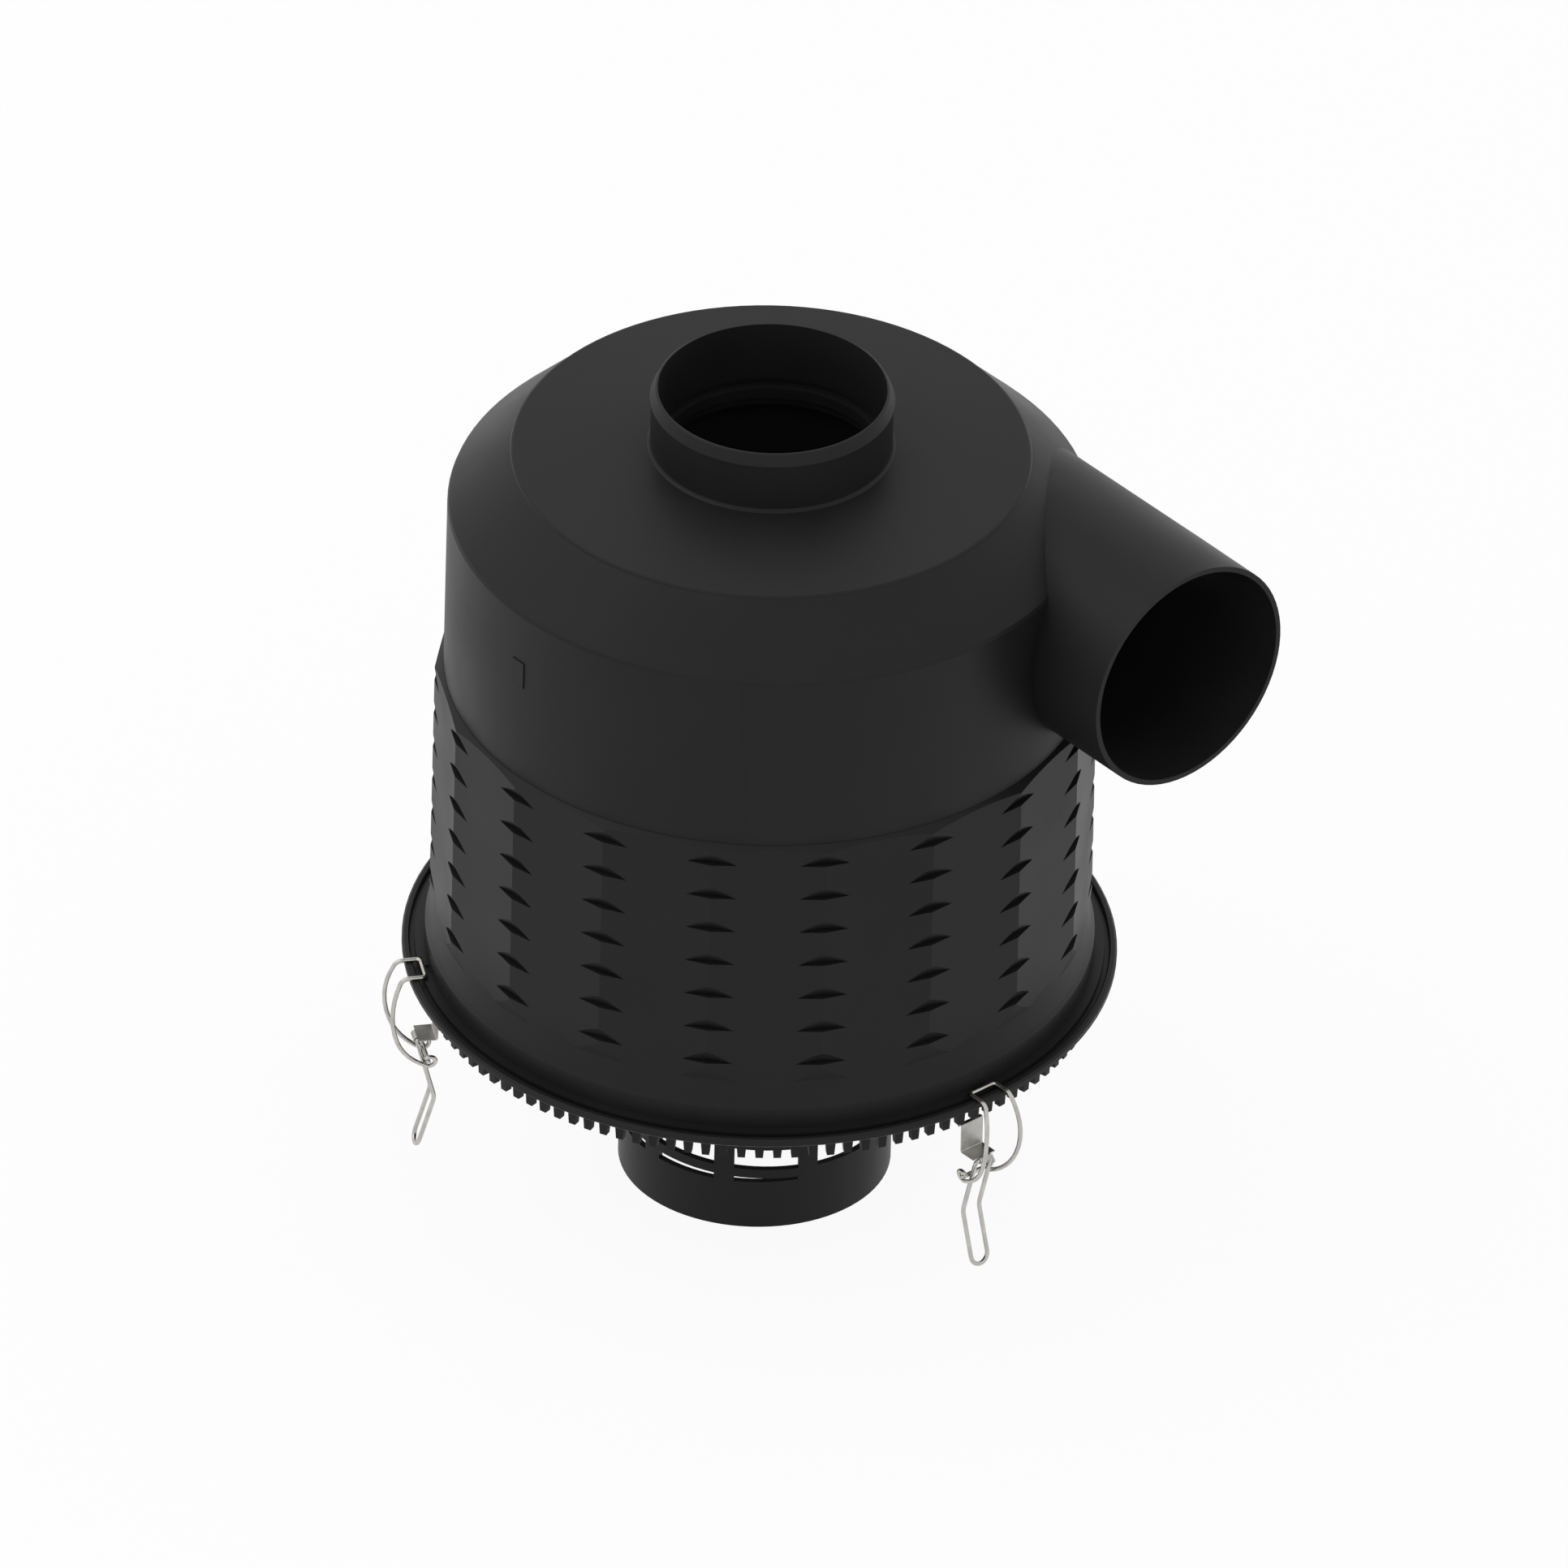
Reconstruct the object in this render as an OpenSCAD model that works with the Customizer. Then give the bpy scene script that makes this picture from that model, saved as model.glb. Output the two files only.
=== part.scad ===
// Air cleaner housing, cyclone type, with a tangential inlet, a centre outlet,
// a windowed support tube for the filter element and three wire toggle clips.
// Millimetres. The origin is on the drum axis, level with the top of the
// flange rim; +Z points towards the outlet and +X along the inlet.

/* [Drum] */
// radius of the smooth drum wall
drum_r = 172.6; // [120:0.1:220]
// height of the shoulder where the cone starts
shoulder_z = 282.1; // [200:0.1:360]
// height of the edge of the top disc
disc_z = 316.3; // [220:0.1:400]
// radius of the top disc
disc_r = 139.2; // [90:0.1:170]
// wall thickness of the moulding
wall = 3; // [2:0.1:5]

/* [Faceted band] */
// number of flat faces round the band
facets = 18; // [12:1:24]
// radius of the band over its corners
band_r = 177.2; // [130:0.1:230]
// height of the top of the band
band_z = 174.3; // [100:0.1:260]
// number of notches down each corner
notch_rows = 7; // [0:1:9]
// height of the ledge of the top notch
notch_z = 165.9; // [100:0.1:250]
// distance from one notch to the next
notch_step = 21.33; // [12:0.01:30]
// depth of a notch at the corner
notch_depth = 3.9; // [1:0.1:6]

/* [Outlet and inlet] */
// outside diameter of both necks
neck_d = 130; // [80:1:160]
// bore of the outlet neck
outlet_bore = 123; // [70:1:150]
// height of the outlet mouth
outlet_z = 356.3; // [330:0.1:420]
// bore of the inlet
inlet_bore = 124; // [70:1:150]
// distance of the inlet mouth from the drum axis
inlet_x = 220; // [190:1:300]
// offset of the inlet axis from the drum axis
inlet_y = 107.3; // [60:0.1:130]
// height of the inlet axis
inlet_z = 241.2; // [200:0.1:280]
// length of the inlet's straight mouth, which a hose grips
inlet_grip = 45; // [30:0.5:50]
// how much thinner the inlet's outside gets towards the drum axis
inlet_draft = 1; // [0.6:0.1:2]

/* [Flange] */
// outside radius of the rim
rim_r = 191.4; // [150:0.1:240]
// inside radius of the rim
rim_in = 187.3; // [145:0.1:235]
// outside radius of the ledge the clips lie on
ledge_r = 184.5; // [140:0.1:230]
// radius of the foot of the flare
foot_r = 179.2; // [135:0.1:225]
// radius of the service opening
open_r = 171; // [120:0.1:215]
// thickness of the rim
rim_t = 4.6; // [3:0.1:8]
// number of teeth in the crown
teeth = 120; // [40:2:180]
// depth of the crown below the rim top
crown_z = 16.2; // [8:0.1:30]
// depth of the plain band above the gaps between the teeth
crown_band = 4.3; // [1:0.1:8]

/* [Support tube] */
// outside radius of the tube
tube_r = 73; // [50:0.5:90]
// wall of the tube
tube_t = 3.5; // [2:0.1:6]
// depth of its lower end below the rim top
tube_z = 136.1; // [60:0.1:200]
// depth of the top of its plain skirt
skirt_z = 107.2; // [40:0.1:180]
// windows in one turn
tube_cols = 10; // [6:1:16]
// turns of windows
tube_turns = 12; // [4:1:14]
// pitch of the winding rib
rib_pitch = 18; // [12:0.5:30]
// height of the winding rib
rib_h = 5.5; // [3:0.1:10]
// width of a pillar
pillar_w = 10.8; // [4:0.1:16]

/* [Clips] */
// number of clips
clips = 3; // [2:1:6]
// wire diameter
wire_d = 2.5; // [1.5:0.1:4]
// distance between the two arms of a bail, at its crosspiece
arm_gap = 17.6; // [12:0.1:30]
// how far each arm bows out sideways half way down
arm_bow = 3.4; // [0:0.1:8]
// radius at which the bail's crosspiece lies
cross_r = 183.2; // [140:0.1:230]
// bend radius of an arm where it bulges out
bulge_r = 46; // [20:1:90]
// inside and outside bend of the eyes, along the wire's middle
eye_r = 3.2; // [2.6:0.1:6]
// distance up the lever from its pivot to the claw hinge
crank_h = 11.5; // [6:0.1:18]
// distance between the two legs of the lever
leg_gap = 11.2; // [6:0.1:16]
// length of the lever's handle below its dog-leg
handle_len = 24.5; // [15:0.1:60]
// length of the lever above its dog-leg
upper_len = 32.8; // [15:0.1:60]
// sheet thickness of the claw
sheet_t = 0.7; // [0.5:0.1:2]
// width of the claw
claw_w = 15.2; // [8:0.1:24]
// height of the claw's plate above its shelf
claw_h = 17; // [8:0.5:24]

/* [View] */
// which piece to show

/* [Hidden] */
$fn = 96;
neck_r = neck_d / 2;
bore_r = outlet_bore / 2;
wire_r = wire_d / 2;
in_r = drum_r - wall;
cone_off = wall * sqrt(2);
seat_z = disc_z - 7.3;
cross_z = 0.75;
corner = 2.2;
arm_steps = [
    [arm_gap / 2 - corner, 0, 90, corner],
    [rim_r + 1.2 - cross_r - corner, 90, 65, 5],
    [0, 0, 25, bulge_r],
    [0, 0, 20, 47],
    [0, 0, 45, 33]
];
arm_end = last_of([[cross_r, 0, cross_z], [1, 0, 0], [0, 1, 0], [1, 0, 0]], arm_steps);
eye = arm_end[0] + arm_end[1] * eye_r;
pivot_x = eye[0] + 0.6;
pivot_z = eye[2];
leg_lean = 15;
hinge_x = pivot_x + (wire_d - 0.08) * cos(leg_lean) + crank_h * sin(leg_lean);
hinge_z = pivot_z - (wire_d - 0.08) * sin(leg_lean) + crank_h * cos(leg_lean);
roll_r = wire_r + 0.1 + sheet_t;
lever_steps = [
    [0, -106, 90, leg_gap / 2],
    [handle_len, 90, 16 + leg_lean, 10],
    [upper_len, -90, 90, corner],
    [leg_gap / 2 - corner - 0.3, 0, 0, 0]
];
plastic = [0.16, 0.16, 0.16];
steel = [0.78, 0.78, 0.76];

// Turns a profile of [radius, height] points about the axis.
module turned(points, fn = 180) {
    rotate_extrude($fn = fn) polygon(points);
}

// Copies a shape round the drum axis, n times, starting at the angle first.
module round_axis(n, first = 0) {
    for (i = [0 : n - 1]) rotate([0, 0, first + i * 360 / n]) children();
}

// The moulding's outside, as one turned solid.
module outer_body() {
    turned([
        [0, outlet_z], [bore_r + 0.8, outlet_z], [neck_r - 2.0, outlet_z - 0.6],
        [neck_r + 0.8, outlet_z - 6.2], [neck_r + 0.8, outlet_z - 6.8],
        [neck_r, outlet_z - 7.4], [neck_r, disc_z + 6.2],
        [neck_r + 0.5, disc_z + 5.2], [neck_r + 1.6, disc_z + 4.5],
        [disc_r - 1.0, disc_z], [disc_r, disc_z - 0.5],
        [disc_r + 0.7, disc_z - 1.8], [disc_r + 2.2, disc_z - 3.2],
        [drum_r - 2.6, shoulder_z + 2.5], [drum_r - 0.8, shoulder_z + 0.6],
        [drum_r, shoulder_z - 1.6], [drum_r, 40],
        [drum_r + 1.9, 30], [foot_r - 1.2, 14.6], [foot_r, 11.5], [foot_r, 0],
        [ledge_r, 0], [ledge_r, -2.6], [rim_in, -2.6], [rim_in, -0.7],
        [rim_in + 0.7, 0], [rim_r - 1.2, 0], [rim_r, -1.2],
        [rim_r, -rim_t + 0.8], [rim_r - 0.8, -rim_t], [0, -rim_t]
    ]);
}

// The air space inside the drum, as one turned solid.
module inner_space() {
    turned([
        [0, seat_z + 4.6], [neck_r + 2.2, disc_z - wall + 3.2],
        [disc_r - 1.6, disc_z - wall - 0.6], [in_r, shoulder_z - 1.0 - cone_off / 3],
        [in_r, 26], [open_r, 16], [open_r, -rim_t - 1], [0, -rim_t - 1]
    ]);
}

// Flat-sided band round the drum, its top edge bevelled to the drum.
module facet_band() {
    intersection() {
        translate([0, 0, 26]) linear_extrude(height = band_z - 26 + 3.7)
            polygon([for (i = [0 : facets - 1])
                let (a = 180 / facets + i * 360 / facets)
                [band_r * cos(a), band_r * sin(a)]]);
        turned([[0, band_z + 3.7], [drum_r + 0.2, band_z + 3.7],
            [drum_r + 5.2, band_z - 0.6], [drum_r + 5.2, 40],
            [drum_r + 2.6, 27], [0, 27]]);
    }
}

// Wedge that cuts one notch: a flat ledge below, a sloping flank above.
module notch() {
    back = 64;
    reach = 14;
    translate([band_r - notch_depth + back, 0, 0])
        rotate([0, 0, 180 - reach]) rotate_extrude(angle = 2 * reach, $fn = 96)
        polygon([[back - notch_depth - 0.7, 0], [back, 0],
                 [back - notch_depth, 7.3], [back - notch_depth - 0.7, 7.3]]);
}

// Ring of teeth that hangs below the rim.
module crown() {
    difference() {
        translate([0, 0, -crown_z]) difference() {
            cylinder(r = 184, h = crown_z - rim_t + 0.5, $fn = 180);
            translate([0, 0, -1]) cylinder(r = 180, h = crown_z, $fn = 180);
        }
        round_axis(teeth) translate([178, 0, 0]) rotate([90, 0, 90])
            linear_extrude(height = 8)
            polygon([[-2.9, -crown_z - 1], [2.9, -crown_z - 1],
                     [2.2, -rim_t - crown_band], [-2.2, -rim_t - crown_band]]);
    }
}

// Places a clip shape, drawn in the plane y = 0, at clip number n.
module at_clip(n) {
    rotate([0, 0, -120 * (n - 1)]) children();
}

// Slots in the flange that one bail lies in.
module bail_slots() {
    depth = 0.5;
    translate([cross_r - wire_r - 0.3, -arm_gap / 2 - 3, -depth])
        cube([wire_d + 0.6, arm_gap + 6, 3]);
    for (s = [-1, 1]) translate([cross_r, s * arm_gap / 2 - wire_r - 0.3, -depth])
        cube([rim_r - cross_r + 1, wire_d + 0.6, 3]);
    translate([foot_r + 0.3, -4, -1.2]) cube([1.6, 8, 3]);
}

// Small raised mark on the drum wall.
module wall_mark() {
    rotate([0, 0, -91.4]) translate([drum_r - 2, -4.6, 236])
        cube([2.6, 9.2, 16]);
}

// Outside of the inlet neck: moulding draft, then the straight mouth.
module inlet_neck() {
    translate([0, inlet_y, inlet_z]) rotate([0, 90, 0])
        turned([[0, 0], [neck_r - inlet_draft, 0], [neck_r, inlet_x - inlet_grip],
                [neck_r, inlet_x], [0, inlet_x]], 128);
}

// The one-piece plastic moulding.
module housing_shell() {
    color(plastic) difference() {
        union() {
            outer_body();
            difference() {
                facet_band();
                for (j = [0 : notch_rows - 1])
                    translate([0, 0, notch_z - j * notch_step])
                    round_axis(facets, 180 / facets) notch();
            }
            crown();
            inlet_neck();
            wall_mark();
        }
        inner_space();
        translate([0, 0, seat_z]) cylinder(r = bore_r, h = 60, $fn = 128);
        translate([0, 0, disc_z + 1.2]) cylinder(r = bore_r + 1.7, h = 3.6, $fn = 128);
        translate([0, inlet_y, inlet_z]) rotate([0, 90, 0])
            cylinder(r = inlet_bore / 2, h = inlet_x + 1, $fn = 128);
        for (n = [1 : clips]) at_clip(n) bail_slots();
    }
    color(plastic) translate([0, 0, seat_z]) difference() {
        cylinder(r = neck_r + 2.2, h = disc_z - seat_z - wall + 3.5, $fn = 128);
        translate([0, 0, -1]) cylinder(r = bore_r, h = 20, $fn = 128);
    }
}

// One window of the support tube. The rib above it falls with the winding,
// and its foot is level where it meets the plain skirt.
module tube_window(rib_z, width) {
    fall = rib_pitch / (2 * PI * tube_r) * width / 2;
    foot = rib_z - rib_pitch + rib_h;
    translate([tube_r - tube_t - 3, 0, 0]) rotate([90, 0, 90])
        linear_extrude(height = tube_t + 6)
        polygon([[-width / 2, max(foot + fall, -skirt_z)], [width / 2, max(foot - fall, -skirt_z)],
                 [width / 2, rib_z - fall], [-width / 2, rib_z + fall]]);
}

// Windowed tube that the filter element slides over.
module support_tube() {
    step = 360 / tube_cols;
    win_w = 2 * tube_r * sin(step / 2) - pillar_w;
    first = -skirt_z + 0.5;
    color(plastic) difference() {
        turned([
            [tube_r - tube_t, -tube_z], [tube_r, -tube_z], [tube_r, seat_z],
            [bore_r, seat_z], [bore_r, disc_z + 0.4], [bore_r - 2.6, disc_z + 0.4],
            [bore_r - 2.6, seat_z + 1.4], [bore_r - 1.2, seat_z],
            [bore_r - 1.2, seat_z - 3.4], [tube_r - tube_t, seat_z - 9.4]
        ], 128);
        for (t = [0 : tube_turns], i = [0 : tube_cols - 1]) {
            rib_z = first + t * rib_pitch - i * rib_pitch / tube_cols;
            if (rib_z > -skirt_z + 1.5 && t < tube_turns)
                rotate([0, 0, i * step]) tube_window(rib_z, win_w);
        }
    }
}

// Turns the vector v about the unit axis k by the angle a.
function turn(v, k, a) =
    v * cos(a) + cross(k, v) * sin(a) + k * (k * v) * (1 - cos(a));

// State of a wire while it is bent: [place, bend side, heading, section side].
function step_on(w, d) = [w[0] + w[2] * d, w[1], w[2], w[3]];
function rolled(w, a) = [w[0], turn(w[1], w[2], a), w[2], w[3]];
function bent(w, a, r) = a == 0 ? w :
    let (side = sign(a), k = cross(w[2], w[1] * side), c = w[0] + w[1] * side * r)
    [c + turn(w[0] - c, k, abs(a)), turn(w[1], k, abs(a)),
     turn(w[2], k, abs(a)), turn(w[3], k, abs(a))];

// States along a wire made by steps of [length, roll, bend, bend radius].
function along(w, steps, i = 0) = i == len(steps) ? [] :
    let (s = steps[i], start = rolled(step_on(w, s[0]), s[1]),
         n = s[2] == 0 ? 0 : ceil(abs(s[2]) / 20))
    concat(s[0] > 0.001 ? [start] : [],
           [for (j = [1 : 1 : n]) bent(start, s[2] * j / n, s[3])],
           along(bent(start, s[2], s[3]), steps, i + 1));

// The state at the far end of such a wire.
function last_of(w, steps, i = 0) = i == len(steps) ? w :
    let (s = steps[i])
    last_of(bent(rolled(step_on(w, s[0]), s[1]), s[2], s[3]), steps, i + 1);

// The ring of points round the wire at one state.
function ring(w, n) = let (v = cross(w[2], w[3]))
    [for (i = [0 : n - 1]) w[0] + wire_r * (w[3] * cos(360 * i / n) + v * sin(360 * i / n))];

// Sideways bow of an arm at the height z, none above the flange.
function bowed(points, bow) = [for (p = points)
    [p[0], p[1] + (p[2] > 0 || p[2] < -57 ? 0 : bow * sin(-180 * p[2] / 57)), p[2]]];

function flipped(points) = [for (p = points) [p[0], -p[1], p[2]]];

// Bent wire that is the same on both sides of the plane y = 0. The steps run
// from the middle out, starting at the point start and heading along +Y.
module wire(start, steps, bow = 0, n = 12) {
    first = [start, [1, 0, 0], [0, 1, 0], [1, 0, 0]];
    half = [for (w = concat([first], along(first, steps))) bowed(ring(w, n), bow)];
    m = len(half);
    rings = concat([for (i = [m - 1 : -1 : 1]) flipped(half[i])], half);
    count = len(rings);
    polyhedron(
        points = [for (r = rings) each r],
        faces = concat(
            [[for (i = [0 : n - 1]) i]],
            [for (k = [0 : count - 2], i = [0 : n - 1])
                [k * n + i, (k + 1) * n + i, (k + 1) * n + (i + 1) % n, k * n + (i + 1) % n]],
            [[for (i = [n - 1 : -1 : 0]) (count - 1) * n + i]]));
}

// Wire bail: crosspiece in the flange, two bowed arms, an eye on each.
module bail() {
    color(steel) wire([cross_r, 0, cross_z], concat(arm_steps, [[0, 0, 250, eye_r]]),
                      bow = arm_bow);
}

// A round bar along Y, as long as w, centred on [x, 0, z].
module bar(x, z, r, w) {
    translate([x, w / 2, z]) rotate([90, 0, 0]) cylinder(r = r, h = w, $fn = 32);
}

// Wire lever: hairpin handle, dog-leg legs, a top bar that runs in the claw's
// roll, and the pin, welded to the legs, that turns in the bail's eyes.
module lever() {
    far = last_of([[0, 0, 0], [1, 0, 0], [0, 1, 0], [1, 0, 0]], lever_steps)[0];
    color(steel) {
        wire([hinge_x - far[0], 0, hinge_z - far[2]], lever_steps);
        bar(pivot_x, pivot_z, wire_r, arm_gap + 4.2);
    }
}

// Sheet claw: upright plate with a hooked top, a shelf, and a roll round the
// lever's top bar that is as wide as the room between the lever's legs.
module claw() {
    back = hinge_x - 10.8;
    knuckle = leg_gap - wire_d - 1.2;
    shelf = hinge_z + roll_r;
    top = shelf + claw_h;
    color(steel) difference() {
        union() {
            rotate([90, 0, 0]) translate([0, 0, -claw_w / 2])
                linear_extrude(height = claw_w)
                polygon([[hinge_x, shelf], [back + sheet_t, shelf], [back + sheet_t, top],
                         [back - 2.2, top], [back - 2.6, top - 2.2],
                         [back - 2.6 + sheet_t, top - 2.2], [back - 1.6, top - sheet_t],
                         [back, top - sheet_t], [back, shelf - sheet_t],
                         [hinge_x, shelf - sheet_t]]);
            bar(hinge_x, hinge_z, roll_r, claw_w);
        }
        bar(hinge_x, hinge_z, wire_r + 0.1, claw_w + 2);
        for (s = [-1, 1]) translate([hinge_x - 3, s * (knuckle + claw_w) / 2 - claw_w / 2,
                                     hinge_z - 4])
            cube([8, claw_w, 4 + roll_r - sheet_t - 0.02]);
    }
}

housing_shell();
support_tube();
at_clip(1) bail();  // bail_1
at_clip(2) bail();  // bail_2
at_clip(3) bail();  // bail_3
at_clip(1) lever();  // lever_1
at_clip(2) lever();  // lever_2
at_clip(3) lever();  // lever_3
at_clip(1) claw();  // claw_1
at_clip(2) claw();  // claw_2
at_clip(3) claw();  // claw_3
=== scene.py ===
"""Air cleaner housing: its looks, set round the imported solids. Metres, in the part's own frame:
the origin is on the drum axis at the top of the flange rim, +Z to the outlet, +X to the inlet."""
import math

import bpy
import numpy as np
from mathutils import Matrix, Vector


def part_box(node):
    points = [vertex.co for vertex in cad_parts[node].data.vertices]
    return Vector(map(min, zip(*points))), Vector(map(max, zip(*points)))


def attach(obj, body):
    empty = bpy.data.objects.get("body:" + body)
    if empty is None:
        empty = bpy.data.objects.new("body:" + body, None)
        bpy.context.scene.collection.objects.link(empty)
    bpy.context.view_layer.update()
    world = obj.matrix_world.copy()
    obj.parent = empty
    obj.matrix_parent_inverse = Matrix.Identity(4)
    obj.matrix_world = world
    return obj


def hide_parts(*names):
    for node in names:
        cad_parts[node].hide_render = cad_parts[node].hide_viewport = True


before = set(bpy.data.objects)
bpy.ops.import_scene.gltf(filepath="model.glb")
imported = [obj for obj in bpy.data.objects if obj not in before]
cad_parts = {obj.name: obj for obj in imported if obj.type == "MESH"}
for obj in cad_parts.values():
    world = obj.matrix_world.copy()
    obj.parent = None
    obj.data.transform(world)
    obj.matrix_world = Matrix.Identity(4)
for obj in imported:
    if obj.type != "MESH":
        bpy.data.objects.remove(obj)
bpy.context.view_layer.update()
MM = 0.001

# Sizes of a toggle clip in millimetres and degrees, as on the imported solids.
CLIPS = 3
WIRE_R = 1.25
CORNER = 2.2            # bend radius of the wires' corners
CROSS_R = 183.2         # the bail's crosspiece, from the drum axis
CROSS_Z = 0.75
ARM_GAP = 17.6          # between the two arms of a bail
ARM_RUN = 7.2           # straight run of an arm over the ledge
ARM_BENDS = ((65, 5), (25, 46), (20, 47), (45, 33))     # angle and radius, rim to eye
ARM_BOW, BOW_H = 3.4, 57.0      # how far an arm bows sideways, and over which height
EYE_R, EYE_TURN = 3.2, 250
PIN_SHIFT = 0.6         # the pin lies this far outwards in the eyes
PIN_REACH = 2.1         # past each arm's middle line
LEAN = 15.0             # of the lever's upper legs
CRANK_H = 11.5          # from the pin up the legs to the claw's hinge
WELD = 0.08             # depth that the pin sinks into the legs
LEG_GAP = 11.2          # between the two legs of a lever
HANDLE = 24.5           # from the hairpin up to the dog-leg
HAIRPIN_TURN = -106     # tilts the hairpin's plane from level to the handle's slope
DOGLEG, DOGLEG_R = 16, 10.0     # angle, besides the lean, and bend radius
UPPER = 32.8            # from the dog-leg up to the top bar
BAR_SPLIT = 0.3         # the top bar's ends stay this far from the middle
SHEET_T = 0.7
CLAW_W, CLAW_H, SHELF_W = 15.2, 17.0, 10.8      # width, plate's height, shelf's depth
HOOK_W, HOOK_H, HOOK_LIP = 2.6, 2.2, 0.7        # reach, drop of its tip, start of its top
CLAW_BENDS = (0.6, 0.8, 1.2)    # rounding at the hook's two corners and at the shelf
ROLL_GAP = 0.1          # between the roll and the lever's bar
ROLL_FROM, ROLL_TO, ROLL_STEPS = 90, -225, 36   # from the top, most of the way round
KNUCKLE_GAP = 1.2       # the roll is this much narrower than the room between the legs

# The photograph's camera: a parallel view, with its centre off the origin in photograph pixels.
AZIMUTH, ELEVATION, ROLL = math.radians(48.66), math.radians(34.17), math.radians(1.38)
PIXELS_PER_METRE = 2303.5
CENTRE_RIGHT, CENTRE_UP = 30.3, 191.9
VIEW_WIDTH = 0.8387
CAMERA_AWAY = 3.0

NOISE_MIDDLE = 0.3, 0.7     # nearly all of a noise pattern lies between these values
DULLER = 0.06               # roughness that the zinc's mottle adds at most
FLOOR_HALF = 9
FLOOR_GLOW = 0.93           # the rest of the floor's look takes light, and so keeps a shadow
ROOM_LIGHT = 0.85           # the room as a lamp; the camera and gloss see it white, at 1
LAMP_AIM = Vector((0, 0, 0.1))


def linear(code):
    """sRGB hex to linear RGBA: the standard curve, channel by channel."""
    c = np.array([int(code[i:i + 2], 16) for i in (0, 2, 4)]) / 255
    c = np.where(c <= 0.04045, c / 12.92, ((c + 0.055) / 1.055) ** 2.4)
    return (*c.tolist(), 1.0)


def add(tree, kind, sockets=None, **settings):
    """Adds a shader node with its settings, and sets or links its sockets."""
    n = tree.nodes.new("ShaderNode" + kind)
    for name, value in settings.items():
        setattr(n, name, value)
    for name, value in (sockets or {}).items():
        if isinstance(value, bpy.types.NodeSocket):
            tree.links.new(value, n.inputs[name])
        else:
            n.inputs[name].default_value = value
    return n


def empty_material(name):
    m = bpy.data.materials.new(name)
    m.use_nodes = True
    m.node_tree.nodes.clear()
    return m, m.node_tree


# Black polypropylene, injection moulded in a fine-etched tool: a dark charcoal that takes the
# light evenly, with a weak satin sheen towards the edges of each round form.
def moulded_polypropylene():
    m, t = empty_material("moulded_polypropylene")
    place = add(t, "TexCoord").outputs["Object"]
    # etched grain of 0.9 mm, drawn a little coarser than the real one so that it shows
    grain = add(t, "TexNoise", {"Vector": place, "Scale": 1100.0, "Detail": 2.0, "Roughness": 0.6})
    # slow flow marks from filling the mould, about 60 mm across
    flow = add(t, "TexNoise", {"Vector": place, "Scale": 16.0, "Detail": 3.0, "Roughness": 0.5})
    colour = add(t, "ValToRGB", {"Fac": flow.outputs["Fac"]})
    for stop, at, code in zip(colour.color_ramp.elements, NOISE_MIDDLE, ("1c1c1c", "202020")):
        stop.position, stop.color = at, linear(code)
    sheen = add(t, "MapRange", {"Value": flow.outputs["Fac"], "From Min": NOISE_MIDDLE[0],
                                "From Max": NOISE_MIDDLE[1], "To Min": 0.4, "To Max": 0.48})
    bump = add(t, "Bump", {"Height": grain.outputs["Fac"], "Strength": 0.25, "Distance": 0.00003})
    skin = add(t, "BsdfPrincipled", {
        "Base Color": colour.outputs["Color"], "IOR": 1.49,
        "Roughness": sheen.outputs["Result"], "Specular IOR Level": 0.15,
        "Normal": bump.outputs["Normal"]})
    add(t, "OutputMaterial", {"Surface": skin.outputs["BSDF"]})
    return m


# Bright zinc on mild steel: a cool grey metal, barrel plated, so it is slightly mottled
# and its drawing or rolling marks still show through the thin plate.
def zinc_plate(name, streak, gloss):
    m, t = empty_material(name)
    place = add(t, "TexCoord").outputs["Object"]
    # mottle of about 8 mm
    mottle = add(t, "TexNoise", {"Vector": place, "Scale": 120.0, "Detail": 2.0, "Roughness": 0.5})
    # marks about a millimetre wide and ten long, coarser than the real ones so that they show
    marks = add(t, "Mapping", {"Vector": place, "Scale": streak})
    line = add(t, "TexNoise", {"Vector": marks.outputs["Vector"], "Scale": 1.0, "Detail": 2.0})
    colour = add(t, "ValToRGB", {"Fac": mottle.outputs["Fac"]})
    for stop, at, code in zip(colour.color_ramp.elements, NOISE_MIDDLE, ("b2b0ac", "c8c6c2")):
        stop.position, stop.color = at, linear(code)
    dull = add(t, "MapRange", {"Value": mottle.outputs["Fac"], "From Min": NOISE_MIDDLE[0],
                               "From Max": NOISE_MIDDLE[1], "To Min": gloss,
                               "To Max": gloss + DULLER})
    bump = add(t, "Bump", {"Height": line.outputs["Fac"], "Strength": 0.1, "Distance": 0.00002})
    skin = add(t, "BsdfPrincipled", {
        "Base Color": colour.outputs["Color"], "Metallic": 1.0,
        "Roughness": dull.outputs["Result"], "Normal": bump.outputs["Normal"]})
    add(t, "OutputMaterial", {"Surface": skin.outputs["BSDF"]})
    return m


plastic = moulded_polypropylene()
wire_zinc = zinc_plate("zinc_drawn_wire", streak=(900.0, 900.0, 90.0), gloss=0.22)
sheet_zinc = zinc_plate("zinc_rolled_sheet", streak=(1400.0, 1400.0, 160.0), gloss=0.4)

for name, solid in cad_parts.items():
    finish = wire_zinc
    if name in ("housing_shell", "support_tube"):
        finish = plastic
    elif name.startswith("claw"):
        finish = sheet_zinc
    for s in solid.material_slots:
        s.material = finish
    if not solid.material_slots:
        solid.data.materials.append(finish)


def turn(v, axis, angle):
    """Turns v about a unit axis by degrees: v cos a + axis x v sin a + axis (axis.v)(1 - cos a)."""
    a = np.radians(angle)
    along = axis * np.sum(axis * v, -1, keepdims=True)
    return v * np.cos(a) + np.cross(axis, v) * np.sin(a) + along * (1 - np.cos(a))


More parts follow.
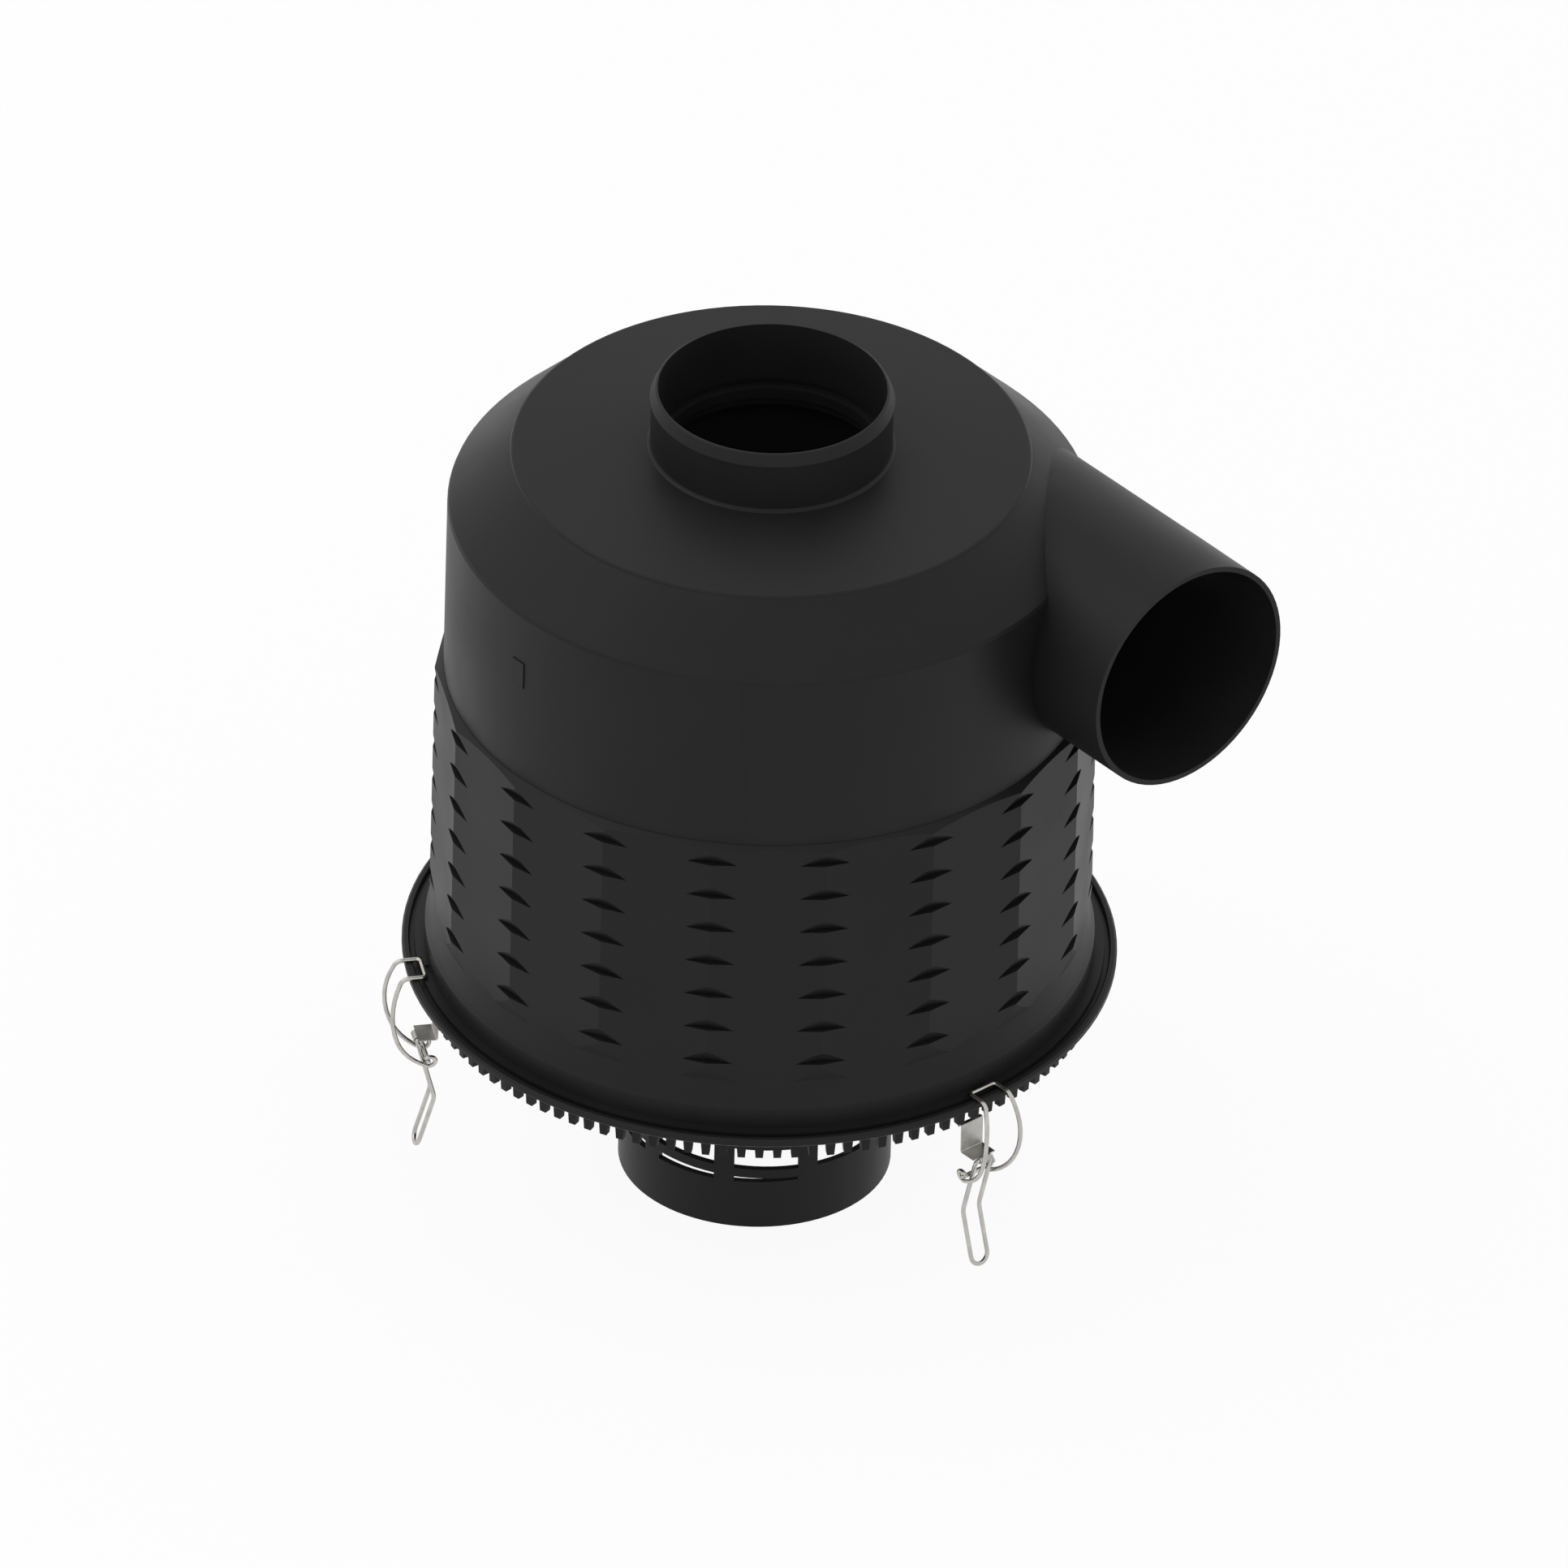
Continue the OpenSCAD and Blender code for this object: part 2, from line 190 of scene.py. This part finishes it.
def bent_path(start, steps, fine=8.0):
    """Middle line of a bent wire, from steps of (length, roll, bend angle, bend radius).
    A straight run goes length along the heading H. A bend round the centre C = P + B r is
    P(t) = C + r (H sin t - B cos t), H(t) = H cos t + B sin t, and the section side S turns
    with it about H x B. Returns the places, headings and sides, and the last bend side."""
    first = (start, (1, 0, 0), (0, 1, 0), (1, 0, 0))
    place, bend, ahead, side = (np.array(v, float) for v in first)
    rows = [np.array([[place, ahead, side]])]
    for length, roll, angle, radius in steps:
        place = place + ahead * length
        bend = turn(bend, ahead, roll)
        if length > 0:
            rows.append(np.array([[place, ahead, side]]))
        if angle > 0:
            t = np.linspace(0, angle, math.ceil(angle / fine) + 1)[1:, None]
            a = np.radians(t)
            axis = np.cross(ahead, bend)
            centre = place + bend * radius
            rows.append(np.stack([centre + radius * (ahead * np.sin(a) - bend * np.cos(a)),
                                  ahead * np.cos(a) + bend * np.sin(a), turn(side, axis, t)], 1))
            place, ahead, side = rows[-1][-1]
            bend = turn(bend, axis, angle)
    return np.concatenate(rows), bend


def round_wire(path, radius, sides=20, bow=0.0, dome_length=0.6):
    """Round wire along half a path and its mirror image in the plane y = 0: rings
    P + r (S cos p + (H x S) sin p), an end dome of smaller rings, and a sideways bow
    y += bow sin(180 -z / BOW_H) on the arms below z = 0."""
    place, ahead, side = path[:, 0], path[:, 1], path[:, 2]
    dome = np.radians([25.0, 50.0, 75.0])[:, None]
    place = np.concatenate([place, place[-1] + ahead[-1] * radius * dome_length * np.sin(dome)])
    r = np.concatenate([np.full(len(path), radius), radius * np.cos(dome[:, 0])])[:, None, None]
    ahead = np.concatenate([ahead, np.repeat(ahead[-1:], len(dome), 0)])
    side = np.concatenate([side, np.repeat(side[-1:], len(dome), 0)])
    p = np.linspace(0, 2 * np.pi, sides, endpoint=False)[None, :, None]
    third = np.cross(ahead, side)
    rings = place[:, None] + r * (side[:, None] * np.cos(p) + third[:, None] * np.sin(p))
    z = rings[..., 2]
    bowed = (z < 0) & (z > -BOW_H)
    rings[..., 1] += np.where(bowed, bow * np.sin(-np.pi * z / BOW_H), 0.0)
    return np.concatenate([rings[:0:-1] * (1, -1, 1), rings])


def round_bar(x, z, radius, width, sides=24, dome_length=0.5):
    """Bar along Y with domed ends: rings of radius r cos(v) at y(v), which grows with sin(v)
    along each dome."""
    dome = np.radians([75.0, 50.0, 25.0, 0.0])
    end = width / 2 - radius * dome_length + radius * dome_length * np.sin(dome)
    y = np.concatenate([-end, end[::-1]])[:, None]
    r = radius * np.concatenate([np.cos(dome), np.cos(dome)[::-1]])[:, None]
    p = np.linspace(0, 2 * np.pi, sides, endpoint=False)
    return np.stack(np.broadcast_arrays(x + r * np.cos(p), y, z + r * np.sin(p)), -1)


def rounded_line(points, radii, fine=4):
    """Line in a plane whose inner corners become curves: each corner Q with unit directions a to
    the point before and b to the point after is the quadratic curve from Q + a d to Q + b d."""
    points = np.array(points, float)
    out = [points[:1]]
    t = np.linspace(0, 1, fine + 1)[:, None]
    for before, q, after, d in zip(points, points[1:], points[2:], radii):
        a = (before - q) / np.linalg.norm(before - q)
        b = (after - q) / np.linalg.norm(after - q)
        out.append((1 - t) ** 2 * (q + a * d) + 2 * t * (1 - t) * q + t ** 2 * (q + b * d))
    return np.concatenate(out + [points[-1:]])


def bent_sheet(line, width, thickness, edge=0.24):
    """Sheet of a width in Y and a thickness along a line of (x, z). Its section is a rectangle
    with round edges, in the line's normal N and Y."""
    ahead = np.gradient(line, axis=0)
    ahead /= np.linalg.norm(ahead, axis=1, keepdims=True)
    normal = np.stack([-ahead[:, 1], ahead[:, 0]], 1)
    p = np.radians(np.arange(0, 360, 30)).reshape(4, 3)
    p = np.concatenate([p, p[:, -1:] + np.radians(30)], 1).ravel()
    quarter = np.repeat([0, 1, 2, 3], 4)
    across = np.array([1, -1, -1, 1])[quarter] * (thickness / 2 - edge) + edge * np.cos(p)
    sideways = np.array([1, 1, -1, -1])[quarter] * (width / 2 - edge) + edge * np.sin(p)
    xz = line[:, None] + normal[:, None] * across[None, :, None]
    return np.stack(np.broadcast_arrays(xz[..., 0], sideways, xz[..., 1]), -1)


def piece(name, grids, finish, body, slot, *nodes, angle=40.0):
    """One mesh of grids of points (rows, columns, xyz) in metres. Columns close on themselves,
    and the first and last rows are capped. Faces are turned outwards: the enclosed volume, the
    sum of p0.(p1 x p2) / 6, has to be positive."""
    verts, faces, first = [], [], 0
    for g in grids:
        rows, cols = g.shape[:2]
        i, j = (k.ravel() for k in np.mgrid[0:rows - 1, 0:cols])
        after = (j + 1) % cols
        quads = np.stack([i * cols + j, i * cols + after,
                          (i + 1) * cols + after, (i + 1) * cols + j], 1)
        flat = g.reshape(-1, 3)
        a, b, c, d = (flat[quads[:, k]] - flat.mean(0) for k in range(4))
        inside = np.sum(a * np.cross(b, c)) + np.sum(a * np.cross(c, d)) < 0
        caps = np.stack([np.arange(cols)[::-1], np.arange(cols) + (rows - 1) * cols])
        for shapes in (quads, caps):
            faces += ((shapes[:, ::-1] if inside else shapes) + first).tolist()
        verts.append(flat)
        first += rows * cols
    mesh = bpy.data.meshes.new(name)
    mesh.from_pydata(np.concatenate(verts).tolist(), [], faces)
    mesh.polygons.foreach_set("use_smooth", np.ones(len(mesh.polygons), bool))
    mesh.set_sharp_from_angle(angle=math.radians(angle))
    mesh.materials.append(finish)
    made = bpy.data.objects.new(name, mesh)
    bpy.context.scene.collection.objects.link(made)
    even = made.modifiers.new("even_faces", "WEIGHTED_NORMAL")
    even.keep_sharp = True
    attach(made, body)
    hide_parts(*nodes)
    return made


def at_clip(points, n):
    """Puts a clip shape, in millimetres in the plane y = 0, at clip number n: a turn about Z."""
    a = math.radians(-120.0 * (n - 1))
    x, y, z = points[..., 0], points[..., 1], points[..., 2]
    turned = [x * math.cos(a) - y * math.sin(a), x * math.sin(a) + y * math.cos(a), z]
    return np.stack(turned, -1) * MM


# Toggle clips of round wire and bent sheet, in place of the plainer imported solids.
# The bail: from the middle of its crosspiece out, along one arm and round its eye.
cross = (CROSS_R, 0, CROSS_Z)
arm = [(ARM_GAP / 2 - CORNER, 0, 90, CORNER), (ARM_RUN, 90, *ARM_BENDS[0])]
arm += [(0, 0, *bend) for bend in ARM_BENDS[1:]]
arm_line, inward = bent_path(cross, arm)
eye = arm_line[-1, 0] + inward * EYE_R
bail_line = bent_path(cross, arm + [(0, 0, EYE_TURN, EYE_R)])[0]
bail_wire = round_wire(bail_line, WIRE_R, bow=ARM_BOW)

# The lever: hairpin handle, dog-leg legs and top bar, hung from its pin in the eyes.
pivot = np.array([eye[0] + PIN_SHIFT, eye[2]])
lean = math.radians(LEAN)
hinge = pivot + (2 * WIRE_R - WELD) * np.array([math.cos(lean), -math.sin(lean)]) \
    + CRANK_H * np.array([math.sin(lean), math.cos(lean)])
legs = [(0, HAIRPIN_TURN, 90, LEG_GAP / 2), (HANDLE, 90, DOGLEG + LEAN, DOGLEG_R),
        (UPPER, -90, 90, CORNER), (LEG_GAP / 2 - CORNER - BAR_SPLIT, 0, 0, 0)]
far = bent_path((0, 0, 0), legs)[0][-1, 0]
lever_line = bent_path((hinge[0] - far[0], 0, hinge[1] - far[2]), legs)[0]
lever_wire = round_wire(lever_line, WIRE_R)
pin = round_bar(pivot[0], pivot[1], WIRE_R, ARM_GAP + 2 * PIN_REACH)

# The claw: hook, plate and shelf in one bent sheet, and the roll round the lever's top bar.
roll_r = WIRE_R + ROLL_GAP + SHEET_T
half = SHEET_T / 2
back_x, shelf_z = hinge[0] - SHELF_W, hinge[1] + roll_r
top_z = shelf_z + CLAW_H
plate = rounded_line([(back_x - HOOK_W + half, top_z - HOOK_H),
                      (back_x - HOOK_W + HOOK_LIP, top_z - half),
                      (back_x + half, top_z - half), (back_x + half, shelf_z - half),
                      (hinge[0], shelf_z - half)], CLAW_BENDS)
rolled = np.radians(np.linspace(ROLL_FROM, ROLL_TO, ROLL_STEPS))
curl = hinge + (roll_r - half) * np.stack([np.cos(rolled), np.sin(rolled)], 1)
claw_plate = bent_sheet(plate, CLAW_W, SHEET_T)
claw_roll = bent_sheet(curl, LEG_GAP - 2 * WIRE_R - KNUCKLE_GAP, SHEET_T)

for n in range(1, CLIPS + 1):
    piece(f"bail_wire_{n}", [at_clip(bail_wire, n)], wire_zinc, f"bail_{n}_body",
          "zinc_steel", f"bail_{n}")
    piece(f"lever_wire_{n}", [at_clip(lever_wire, n), at_clip(pin, n)], wire_zinc,
          f"lever_{n}_body", "zinc_steel", f"lever_{n}")
    piece(f"claw_sheet_{n}", [at_clip(claw_plate, n), at_clip(claw_roll, n)], sheet_zinc,
          f"claw_{n}_body", "zinc_steel", f"claw_{n}", angle=55.0)


def seen_directly(tree, *more):
    """1 for rays from the camera and off gloss, and for the kinds named in more, else 0."""
    rays = add(tree, "LightPath").outputs
    seen = rays["Is Camera Ray"]
    for kind in ("Is Glossy Ray", *more):
        seen = add(tree, "Math", {0: seen, 1: rays[kind]}, operation="MAXIMUM").outputs[0]
    return seen


# Floor: white, and it keeps a soft shadow; the part stands on the lower ring of its tube.
paper, t = empty_material("white_paper")
share = add(t, "Math", {0: seen_directly(t, "Is Transmission Ray"), 1: FLOOR_GLOW},
            operation="MULTIPLY")
matt = add(t, "BsdfDiffuse", {"Color": linear("f4f4f4")})
glow = add(t, "Emission", {"Color": (1, 1, 1, 1), "Strength": 1.0})
both = add(t, "MixShader", {0: share.outputs[0], 1: matt.outputs[0], 2: glow.outputs[0]})
add(t, "OutputMaterial", {"Surface": both.outputs[0]})
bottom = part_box("support_tube")[0][2]
corners = [(x * FLOOR_HALF, y * FLOOR_HALF, bottom)
           for x, y in ((-1, -1), (1, -1), (1, 1), (-1, 1))]
floor_mesh = bpy.data.meshes.new("floor")
floor_mesh.from_pydata(corners, [], [(0, 1, 2, 3)])
floor_mesh.materials.append(paper)
floor = bpy.data.objects.new("floor", floor_mesh)
bpy.context.scene.collection.objects.link(floor)

# World and lamp: an even white room with one soft lamp above on the left.
scene = bpy.context.scene
world = bpy.data.worlds.new("white_room")
scene.world = world
world.use_nodes = True
sky = world.node_tree
sky.nodes.clear()
level = add(sky, "MapRange", {"Value": seen_directly(sky), "To Min": ROOM_LIGHT, "To Max": 1.0})
room = add(sky, "Background", {"Color": (1, 1, 1, 1), "Strength": level.outputs["Result"]})
add(sky, "OutputWorld", {"Surface": room.outputs[0]})


def soft_lamp(name, direction, size, power, distance=2.2):
    """Square area lamp that points at the middle of the part from a direction."""
    light = bpy.data.lights.new(name, "AREA")
    light.size, light.energy = size, power
    lamp = bpy.data.objects.new(name, light)
    lamp.location = Vector(direction).normalized() * distance + LAMP_AIM
    lamp.rotation_euler = (LAMP_AIM - lamp.location).to_track_quat("-Z", "Y").to_euler()
    scene.collection.objects.link(lamp)


soft_lamp("key", direction=(-0.8, -0.9, 1.6), size=1.6, power=7.0)

# Camera: from the photograph's angle, parallel, turned a little about its own axis.
view = bpy.data.cameras.new("camera")
view.type, view.ortho_scale = "ORTHO", VIEW_WIDTH
camera = bpy.data.objects.new("camera", view)
back = Vector((math.sin(AZIMUTH) * math.cos(ELEVATION),
               -math.cos(AZIMUTH) * math.cos(ELEVATION), math.sin(ELEVATION)))
level_look = (-back).to_track_quat("-Z", "Y")
level_right, level_up = level_look @ Vector((1, 0, 0)), level_look @ Vector((0, 1, 0))
right = level_right * math.cos(ROLL) + level_up * math.sin(ROLL)
up = level_up * math.cos(ROLL) - level_right * math.sin(ROLL)
camera.matrix_world = Matrix((right, up, back)).transposed().to_4x4()
camera.location = right * (CENTRE_RIGHT / PIXELS_PER_METRE) \
    + up * (CENTRE_UP / PIXELS_PER_METRE) + back * CAMERA_AWAY
view.clip_start, view.clip_end = 0.1, 30
scene.collection.objects.link(camera)
scene.camera = camera
scene.view_settings.view_transform = "Standard"
